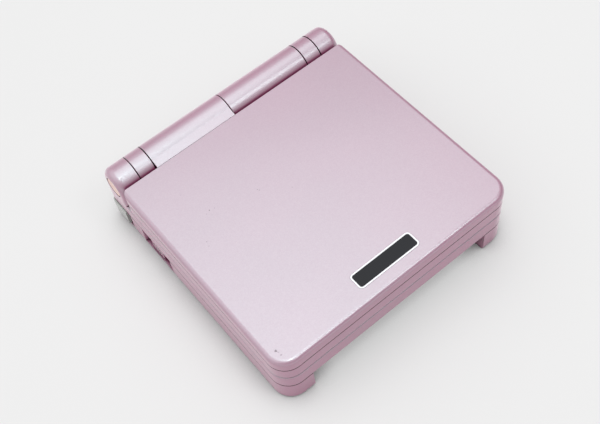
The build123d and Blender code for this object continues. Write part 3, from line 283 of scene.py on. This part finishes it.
def pearl_lacquer(name, seam_z=None):
    """The housings' lacquer. seam_z is the height of the seam whose lips take a dark line of dust and
    painted shade.
    """
    material, tree = new_material(name)
    flakes = pattern(tree, "ShaderNodeTexVoronoi", flake_size)
    clouds = pattern(tree, "ShaderNodeTexNoise", cloud_size, {"Detail": 2.0})
    spark = add(tree, "ShaderNodeSeparateColor", links={"Color": flakes.outputs["Color"]})
    # Painted shade and pink inter-reflection: seams and creases take a deeper, darker pink.
    gap = in_gaps(tree, gap_shade_reach)
    seam = in_gaps(tree, seam_reach, open_sky=clear_sky)
    # Dust and painted shade on a seam's lips, and a dark line along the seam's height.
    if seam_z is not None:
        place = add(tree, "ShaderNodeTexCoord").outputs["Object"]
        level = add(tree, "ShaderNodeSeparateXYZ", links={0: place}).outputs["Z"]
        line = add(tree, "ShaderNodeMath", {1: seam_z * mm, 2: dust_and_shade_half_width * mm}, {0: level},
                   operation="COMPARE").outputs[0]
        seam = add(tree, "ShaderNodeMath", links={0: seam, 1: line}, operation="MAXIMUM").outputs[0]
    scuffed = scuffed_lid(tree)
    pink = blend_colour(tree, clouds.outputs["Fac"], "7C2650", "882858")
    # Painted shade in gaps and creases: a deep, dark pink.
    pink = blend_colour(tree, gap, pink, "520A30")
    pink = blend_colour(tree, scuffed, pink, "3A3438")
    # Dust and painted shade at the seams: a near black pink.
    pink = blend_colour(tree, seam, pink, "240814")
    silver = blend_colour(tree, spark.outputs[0], "839A99", "899F9E")
    # Painted shade: upright walls get a duller silver, which leaves them darker and deeper pink.
    silver = blend_colour(tree, unshaded_flat_faces(tree), "6C7376", silver)
    # Painted shade in gaps and creases: the silver flake goes nearly black.
    silver = blend_colour(tree, gap, silver, "2A1E28")
    silver = blend_colour(tree, scuffed, silver, "6A6268")
    # Dust and painted shade at the seams: a near black silver.
    silver = blend_colour(tree, seam, silver, "1C161A")
    tilt = relief(tree, spark.outputs[2], flake_depth, flake_tilt)
    ground = add(tree, "ShaderNodeBsdfPrincipled",
                 {"Metallic": 0.0, "Roughness": 0.5, "Specular IOR Level": 0.0, "Coat Weight": 0.7,
                  "Coat Roughness": 0.13, "Coat IOR": 1.5}, {"Base Color": pink, "Normal": tilt})
    mica = add(tree, "ShaderNodeBsdfPrincipled", {"Metallic": 1.0},
               {"Base Color": silver, "Normal": tilt,
                "Roughness": spread(tree, spark.outputs[1], 0.35, 0.41)})
    surface = add(tree, "ShaderNodeAddShader", links={0: ground.outputs[0], 1: mica.outputs[0]})
    add(tree, "ShaderNodeOutputMaterial", links={"Surface": surface.outputs[0]})
    return material


finish_nodes(painted, pearl_lacquer("abs_pearl_pink_lacquer"))
finish_nodes(["lid_cover", "lid_frame"], pearl_lacquer("abs_pearl_pink_lacquer_lid", lid_seam_z))
finish_nodes(["base_top", "base_bottom"], pearl_lacquer("abs_pearl_pink_lacquer_base", base_seam_z))


# ---- Barrel end plugs -----------------------------------------------------------------------
# A round plug closes each end of the barrel and hides the pin. Moulded ABS in peach, unpainted and satin,
# pressed in by its rim; painted shade darkens the groove round its face.
def moulded(name, colours, patch, roughness, depth, dirt_and_shade=None, **values):
    """A material whose colour, gloss and surface wander between two limits in patches of so many
    millimetres. dirt_and_shade is the darker colour painted into its seams and corners, for dirt and shade."""
    material, tree = new_material(name)
    drift = pattern(tree, "ShaderNodeTexNoise", patch, {"Detail": 4.0}).outputs["Fac"]
    colour = blend_colour(tree, drift, *colours)
    # Dirt and painted shade: seams and corners take the darker colour.
    if dirt_and_shade:
        colour = blend_colour(tree, in_gaps(tree, seam_reach), colour, dirt_and_shade)
    surface = add(tree, "ShaderNodeBsdfPrincipled",
                  {socket.replace("_", " "): value for socket, value in values.items()},
                  {"Base Color": colour, "Roughness": spread(tree, drift, *roughness),
                   "Normal": relief(tree, drift, depth)})
    add(tree, "ShaderNodeOutputMaterial", links={"Surface": surface.outputs[0]})
    return material


finish_nodes(["hinge_end_plugs"], moulded("abs_peach_satin", ("DDBBB1", "E4C6BD"), 1.2, (0.42, 0.5), 0.01,
                                          dirt_and_shade="6E3A34"))

# ---- Badge ----------------------------------------------------------------------------------
# A blank plate by the lid's front edge: a dark face printed under clear film, in a white moulded rim.
# It is glued into a shallow seat, and dirt and painted shade darken the corners round the rim's foot.
finish_nodes(["badge_frame"], moulded("abs_white_rim_gloss", ("E2E3E8", "EAEBEF"), 3.0, (0.2, 0.3), 0.003,
                                      dirt_and_shade="5A5560", Coat_Weight=1.0, Coat_Roughness=0.06))
finish_nodes(["badge_face"], moulded("slate_print_under_film", ("191A1E", "1D1F24"), 6.0, (0.3, 0.4), 0.004,
                                     Specular_IOR_Level=0.0, Coat_Weight=0.35, Coat_Roughness=0.08))

# ---- Screen ---------------------------------------------------------------------------------
# A clear acrylic lens, with a black border printed round its window, is glued into the lid's inner frame.
# Behind it lie a clear light guide, a white light strip and the display panel, held by a steel bracket.
window_width, window_height = 61.2, 40.8
acrylic_index = 1.49
lens_low, lens_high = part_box("screen_lens")
lens, tree = new_material("acrylic_lens_printed_border")
place = add(tree, "ShaderNodeTexCoord").outputs["Object"]
centred = add(tree, "ShaderNodeVectorMath", {1: (lens_low + lens_high) / 2}, {0: place},
              operation="SUBTRACT")
span = add(tree, "ShaderNodeVectorMath", links={0: centred.outputs[0]}, operation="ABSOLUTE")
span = add(tree, "ShaderNodeSeparateXYZ", links={0: span.outputs[0]}).outputs
past_side, past_end = [add(tree, "ShaderNodeMath", {1: size / 2 * mm}, {0: span[axis]},
                           operation="GREATER_THAN").outputs[0]
                       for axis, size in (("X", window_width), ("Y", window_height))]
border = add(tree, "ShaderNodeMath", links={0: past_side, 1: past_end}, operation="MAXIMUM").outputs[0]
haze = pattern(tree, "ShaderNodeTexNoise", 2.5, {"Detail": 5.0}).outputs["Fac"]
clear = add(tree, "ShaderNodeBsdfPrincipled",
            {"Base Color": linear("F4F7F8"), "IOR": acrylic_index, "Transmission Weight": 1.0},
            {"Roughness": spread(tree, haze, 0.01, 0.05)})
ink = add(tree, "ShaderNodeBsdfPrincipled", {"Coat Weight": 1.0, "Coat Roughness": 0.03},
          {"Base Color": blend_colour(tree, haze, "0B0B0D", "101013"),
           "Roughness": spread(tree, haze, 0.2, 0.3)})
surface = add(tree, "ShaderNodeMixShader", links={0: border, 1: clear.outputs[0], 2: ink.outputs[0]})
add(tree, "ShaderNodeOutputMaterial", links={"Surface": surface.outputs[0]})
finish_nodes(["screen_lens"], lens)
finish_nodes(["light_guide"], moulded("acrylic_light_guide", ("F2F6F6", "F7FAFA"), 1.0, (0.04, 0.08), 0.002,
                                      IOR=acrylic_index, Transmission_Weight=1.0))
finish_nodes(["light_strip"], moulded("abs_white_matt", ("E6E6E2", "EDEDE9"), 1.5, (0.5, 0.6), 0.01))

pixel, pixel_gap = 0.255, 0.018
in_mm = 1.0                 # a brick pattern of this size takes its bricks and joints in millimetres
panel, tree = new_material("display_glass_with_pixels")
cells = pattern(tree, "ShaderNodeTexBrick", in_mm,
                {"Color1": linear("343A34"), "Color2": linear("3A403A"), "Mortar": linear("1A1D1B"),
                 "Mortar Size": pixel_gap, "Brick Width": pixel, "Row Height": pixel}, offset=0.0)
surface = add(tree, "ShaderNodeBsdfPrincipled", {"Coat Weight": 1.0, "Coat Roughness": 0.08},
              {"Base Color": cells.outputs["Color"],
               "Roughness": spread(tree, cells.outputs["Fac"], 0.25, 0.45)})
add(tree, "ShaderNodeOutputMaterial", links={"Surface": surface.outputs[0]})
finish_nodes(["lcd_panel"], panel)
finish_nodes(["screen_gasket"],
             moulded("closed_cell_foam_black", ("141414", "1E1E1E"), 0.3, (0.85, 0.95), 0.06))

# ---- Steel pieces ---------------------------------------------------------------------------
# Screen bracket, hinge pins and clutch, springs and screws: zinc plated steel, stamped, turned or wound.
# The plating has a fine spangle and is duller in patches.
steel = ["lcd_bracket", "lid_screws", "case_screws", "battery_cover_screw", "hinge_clutch", "hinge_pin_left",
         "hinge_shaft_right", "shoulder_pins", "shoulder_springs"]
# Dirt and painted shade darken the plating in seams and corners.
finish_nodes(steel, moulded("steel_zinc_plated", ("96989D", "B9BBC0"), 0.6, (0.26, 0.42), 0.004,
                            dirt_and_shade="3C3C40", Metallic=1.0))

# ---- Keys and rubber ------------------------------------------------------------------------
# Keys: moulded ABS in silver grey lacquer. Under each lies a moulded silicone mat, and the lid's screws are
# covered by rubber pads of the same grey.
# Dirt and painted shade darken the keys in their seams and corners.
finish_nodes(["dpad", "button_a", "button_b", "start_button", "select_button", "light_button"],
             moulded("abs_silver_grey_lacquer", ("A4A5AB", "B0B1B7"), 0.25, (0.34, 0.42), 0.003,
                     dirt_and_shade="4A4A4E", Metallic=0.35, Coat_Weight=0.5, Coat_Roughness=0.2))
finish_nodes(["lid_screw_pads", "dpad_membrane", "action_membrane", "menu_membrane", "light_membrane",
              "dpad_pivot"],
             moulded("silicone_grey_moulded", ("86868D", "929298"), 0.4, (0.6, 0.72), 0.01))

# ---- Shoulder buttons and light windows -----------------------------------------------------
# Shoulder buttons: moulded polycarbonate tinted smoke grey, clear enough to glow at their thin edges.
# Light windows: frosted acrylic pipes pushed into the base from inside.
# Dirt and painted shade darken the buttons in their seams and corners.
finish_nodes(["shoulder_button_left", "shoulder_button_right"],
             moulded("polycarbonate_smoke_grey", ("A9ABA8", "B4B6B2"), 8.0, (0.24, 0.3), 0.002,
                     dirt_and_shade="5A5A58", IOR=1.58, Transmission_Weight=0.12))
finish_nodes(["led_windows"], moulded("acrylic_frosted", ("DDE8E0", "E6EFE9"), 0.5, (0.3, 0.4), 0.004,
                                      IOR=acrylic_index, Transmission_Weight=0.7))

# ---- Electronics ----------------------------------------------------------------------------
# A glass fibre board under green solder resist, with black moulded chips, sockets, switches and speaker.
# Contacts are gold plated bronze springs. The ribbons are amber film with etched copper tracks.
track_length, track_pitch, track_edge = 3.4, 0.9, 0.09
board, tree = new_material("glass_fibre_board_green_resist")
tracks = pattern(tree, "ShaderNodeTexBrick", in_mm,
                 {"Color1": linear("0D4630"), "Color2": linear("115238"), "Mortar": linear("1E7350"),
                  "Mortar Size": track_edge, "Brick Width": track_length, "Row Height": track_pitch})
weave = pattern(tree, "ShaderNodeTexNoise", 0.4).outputs["Fac"]
surface = add(tree, "ShaderNodeBsdfPrincipled", {"Coat Weight": 0.6, "Coat Roughness": 0.15},
              {"Base Color": tracks.outputs["Color"], "Roughness": spread(tree, weave, 0.35, 0.5),
               "Normal": relief(tree, tracks.outputs["Fac"], 0.03)})
add(tree, "ShaderNodeOutputMaterial", links={"Surface": surface.outputs[0]})
finish_nodes(["main_board"], board)
finish_nodes(["board_chips", "cartridge_connector", "speaker", "power_switch", "volume_control", "link_port",
              "charge_port", "shoulder_switches"],
             moulded("glass_filled_nylon_black", ("121316", "1B1C20"), 0.25, (0.45, 0.6), 0.012))
finish_nodes(["connector_contacts", "battery_contacts"],
             moulded("bronze_gold_plated", ("C49C46", "D8B35E"), 0.5, (0.18, 0.3), 0.002, Metallic=1.0))
finish_nodes(["battery_pack"], moulded("battery_case_grey", ("3A3C40", "46484D"), 0.3, (0.45, 0.55), 0.012))

wave_size = 3.2             # a wave pattern of this size has one track a millimetre
ribbon, tree = new_material("polyimide_ribbon_copper_tracks")
tracks = pattern(tree, "ShaderNodeTexWave", wave_size, {"Distortion": 0.0}, wave_type="BANDS",
                 bands_direction="X", wave_profile="TRI")
edge = add(tree, "ShaderNodeMapRange", {"From Min": 0.45, "From Max": 0.55},
           {"Value": tracks.outputs["Fac"]})
surface = add(tree, "ShaderNodeBsdfPrincipled", {"Coat Weight": 0.8, "Coat Roughness": 0.12},
              {"Base Color": blend_colour(tree, edge.outputs[0], "A0611C", "6B3A10"),
               "Roughness": spread(tree, tracks.outputs["Fac"], 0.3, 0.45)})
add(tree, "ShaderNodeOutputMaterial", links={"Surface": surface.outputs[0]})
finish_nodes(["display_flex", "flex_tail"], ribbon)
